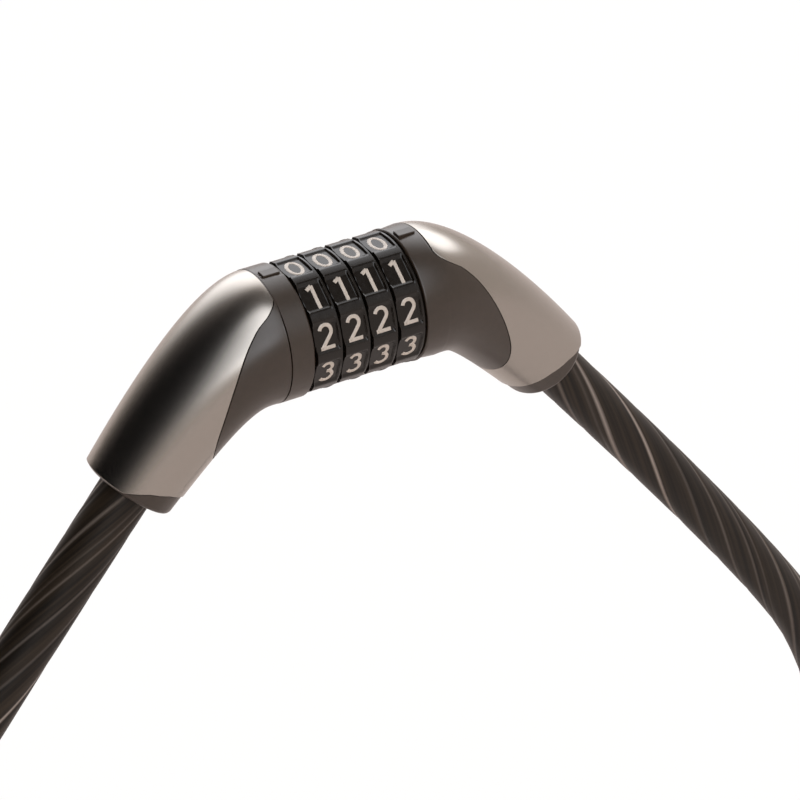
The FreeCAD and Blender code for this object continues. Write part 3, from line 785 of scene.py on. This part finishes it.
def twisted_cable():
    line = cable_line()
    profile = strand_profile()
    rings = []
    length = 0.0
    lengths = []
    for index, point in enumerate(line):
        if index:
            length += (point - line[index - 1]).length
        lengths.append(length)
        ahead = line[min(index + 1, len(line) - 1)] - line[max(index - 1, 0)]
        ahead.normalize()
        sideways = Vector((0, 1, 0))
        outward = ahead.cross(sideways)
        twist = -2 * math.pi * length / LAY_LENGTH
        ring = []
        for turn, radius in profile:
            a = turn + twist
            ring.append(point + outward * (radius * math.cos(a)) + sideways * (radius * math.sin(a)))
        rings.append(ring)
    bm = bmesh.new()
    columns, rows = len(profile) - 1, len(rings) - 1
    bmesh.ops.create_grid(bm, x_segments=columns, y_segments=rows, size=1)
    layer = bm.loops.layers.uv.new("strands")
    for face in bm.faces:
        for loop in face.loops:
            column = round((loop.vert.co.x + 1) / 2 * columns)
            row = round((loop.vert.co.y + 1) / 2 * rows)
            loop[layer].uv = (profile[column][0] / (2 * math.pi), lengths[row] / length)
    for vert in bm.verts:
        column = round((vert.co.x + 1) / 2 * columns)
        row = round((vert.co.y + 1) / 2 * rows)
        vert.co = rings[row][column]
    bmesh.ops.remove_doubles(bm, verts=bm.verts, dist=1e-7)
    open_edges = [e for e in bm.edges if e.is_boundary]
    bmesh.ops.holes_fill(bm, edges=open_edges, sides=0)
    bmesh.ops.recalc_face_normals(bm, faces=bm.faces)
    piece = finished("twisted_cable", bm, JACKET, 50)
    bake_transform(piece)
    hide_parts("cable_right", "cable_left")
    return piece


# =================================================================================================
# Assembly
# =================================================================================================
CAD_FINISHES = {
    "lock_tube": STEEL, "tube_pin": STEEL, "collar_pin": STEEL, "stack_spring": STEEL,
    "dial_spacers": SPACER, "ferrule_right": ALUMINIUM, "ferrule_left": ALUMINIUM,
    "ferrule_pin_right": STEEL, "ferrule_pin_left": STEEL, "cable_core_right": ROPE,
    "cable_core_left": ROPE, "bolt": STEEL, "bolt_pin": STEEL, "code_ring_1": BRASS,
    "code_ring_2": BRASS, "code_ring_3": BRASS, "code_ring_4": BRASS,
    "index_mark_right": DARK, "index_mark_left": DARK, "end_collar": DARK,
}
for node_name, finish_material in CAD_FINISHES.items():
    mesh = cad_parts[node_name].data
    mesh.materials.clear()
    mesh.materials.append(finish_material)

right_cover = skin("lock_cover_shell", cover_rings(EDGE_GAP), LOCK_SIDE, SILVER)
left_cover = skin("plug_cover_shell", cover_rings(SEAM_GAP), PLUG_SIDE, SILVER)
right_body = lock_body()
left_body = plug_body()
for piece, node, body, slot in ((right_cover, "lock_cover", "lock", "silver_cover"),
                                (left_cover, "plug_cover", "plug", "silver_cover"),
                                (right_body, "lock_housing", "lock", "dark_body"),
                                (left_body, "plug_housing", "plug", "dark_body")):
    soften(piece, EDGE_SOFTNESS)
    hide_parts(node)
    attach(piece, body)

collar = smooth_copy("end_collar", "left_collar", DARK)
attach(collar, "lock")

numeral_meshes = [numeral_mesh(value) for value in range(CELLS)]
for dial_name in DIALS:
    dial_wheel(dial_name)
    numerals(dial_name, numeral_meshes)

twisted_cable()

# =================================================================================================
# Stage, light and camera
# =================================================================================================


def floor():
    bm = bmesh.new()
    bmesh.ops.create_grid(bm, x_segments=1, y_segments=1, size=FLOOR_SIZE)
    bmesh.ops.translate(bm, verts=bm.verts, vec=(0, 0, cad_box[0].z))
    material = bpy.data.materials.new("pale_floor")
    material.use_nodes = True
    tree = material.node_tree
    tree.nodes.clear()
    matt = tree.nodes.new("ShaderNodeBsdfDiffuse")
    matt.inputs["Color"].default_value = FLOOR_COLOUR
    glow = tree.nodes.new("ShaderNodeEmission")
    glow.inputs["Strength"].default_value = FLOOR_GLOW
    path = tree.nodes.new("ShaderNodeLightPath")
    share = tree.nodes.new("ShaderNodeMath")
    share.operation = "MULTIPLY"
    share.inputs[1].default_value = FLOOR_GLOW_SHARE
    mix = tree.nodes.new("ShaderNodeMixShader")
    out = tree.nodes.new("ShaderNodeOutputMaterial")
    tree.links.new(path.outputs["Is Camera Ray"], share.inputs[0])
    tree.links.new(share.outputs["Value"], mix.inputs["Fac"])
    tree.links.new(matt.outputs["BSDF"], mix.inputs[1])
    tree.links.new(glow.outputs["Emission"], mix.inputs[2])
    tree.links.new(mix.outputs["Shader"], out.inputs["Surface"])
    piece = finished("studio_floor", bm, material)


def studio_world():
    """Studio surroundings as the parts reflect them: soft boxes, dark screens, a grey room."""
    world = bpy.data.worlds.new("studio")
    bpy.context.scene.world = world
    world.use_nodes = True
    tree = world.node_tree
    tree.nodes.clear()
    coordinates = tree.nodes.new("ShaderNodeTexCoord")

    def patch(direction, outer, inner):
        toward = tree.nodes.new("ShaderNodeVectorMath")
        toward.operation = "DOT_PRODUCT"
        toward.inputs[1].default_value = Vector(direction).normalized()
        tree.links.new(coordinates.outputs["Generated"], toward.inputs[0])
        edge = tree.nodes.new("ShaderNodeMapRange")
        edge.interpolation_type = "SMOOTHSTEP"
        edge.inputs["From Min"].default_value = outer
        edge.inputs["From Max"].default_value = inner
        tree.links.new(toward.outputs["Value"], edge.inputs["Value"])
        return edge.outputs["Result"]

    def combine(operation, first, second, third=None):
        node = tree.nodes.new("ShaderNodeMath")
        node.operation = operation
        for socket, value in zip(node.inputs, (first, second, third)):
            if value is None:
                continue
            if isinstance(value, (int, float)):
                socket.default_value = value
            else:
                tree.links.new(value, socket)
        return node.outputs["Value"]

    unscreened = 1.0
    for direction, outer, inner, depth in SCREENS:
        left_over = combine("MULTIPLY_ADD", patch(direction, outer, inner), -depth, 1.0)
        unscreened = combine("MULTIPLY", unscreened, left_over)
    boxes = 0.0
    for direction, outer, inner, gain in SOFT_BOXES:
        boxes = combine("MULTIPLY_ADD", patch(direction, outer, inner), gain, boxes)
    path = tree.nodes.new("ShaderNodeLightPath")
    room = tree.nodes.new("ShaderNodeBackground")
    room.inputs["Color"].default_value = ROOM_COLOUR
    tree.links.new(combine("MULTIPLY", unscreened, ROOM_LEVEL), room.inputs["Strength"])
    lights = tree.nodes.new("ShaderNodeBackground")
    lights.inputs["Color"].default_value = BOX_COLOUR
    tree.links.new(combine("MULTIPLY", unscreened, boxes), lights.inputs["Strength"])
    both = tree.nodes.new("ShaderNodeAddShader")
    tree.links.new(room.outputs["Background"], both.inputs[0])
    tree.links.new(lights.outputs["Background"], both.inputs[1])
    white = tree.nodes.new("ShaderNodeBackground")
    mix = tree.nodes.new("ShaderNodeMixShader")
    out = tree.nodes.new("ShaderNodeOutputWorld")
    white.inputs["Color"].default_value = WHITE
    tree.links.new(path.outputs["Is Camera Ray"], mix.inputs["Fac"])
    tree.links.new(both.outputs["Shader"], mix.inputs[1])
    tree.links.new(white.outputs["Background"], mix.inputs[2])
    tree.links.new(mix.outputs["Shader"], out.inputs["Surface"])


def camera():
    centre = Vector((0, 0, AXIS_Z))
    data = bpy.data.cameras.new("camera")
    data.lens = CAMERA_LENS
    data.sensor_width = SENSOR_WIDTH
    data.clip_start = CAMERA_NEAR
    carrier = bpy.data.objects.new("camera", data)
    location = centre + CAMERA_BACK * CAMERA_DISTANCE
    aim = centre + CAMERA_RIGHT * AIM_RIGHT - CAMERA_UP * AIM_DOWN
    away = (location - aim).normalized()
    side = CAMERA_UP.cross(away).normalized()
    level = away.cross(side)
    turn = Matrix((side, level, away)).transposed()
    carrier.matrix_world = Matrix.Translation(location) @ turn.to_4x4()
    bpy.context.scene.collection.objects.link(carrier)
    bpy.context.scene.camera = carrier


floor()
studio_world()
camera()
bpy.context.scene.view_settings.view_transform = "Standard"
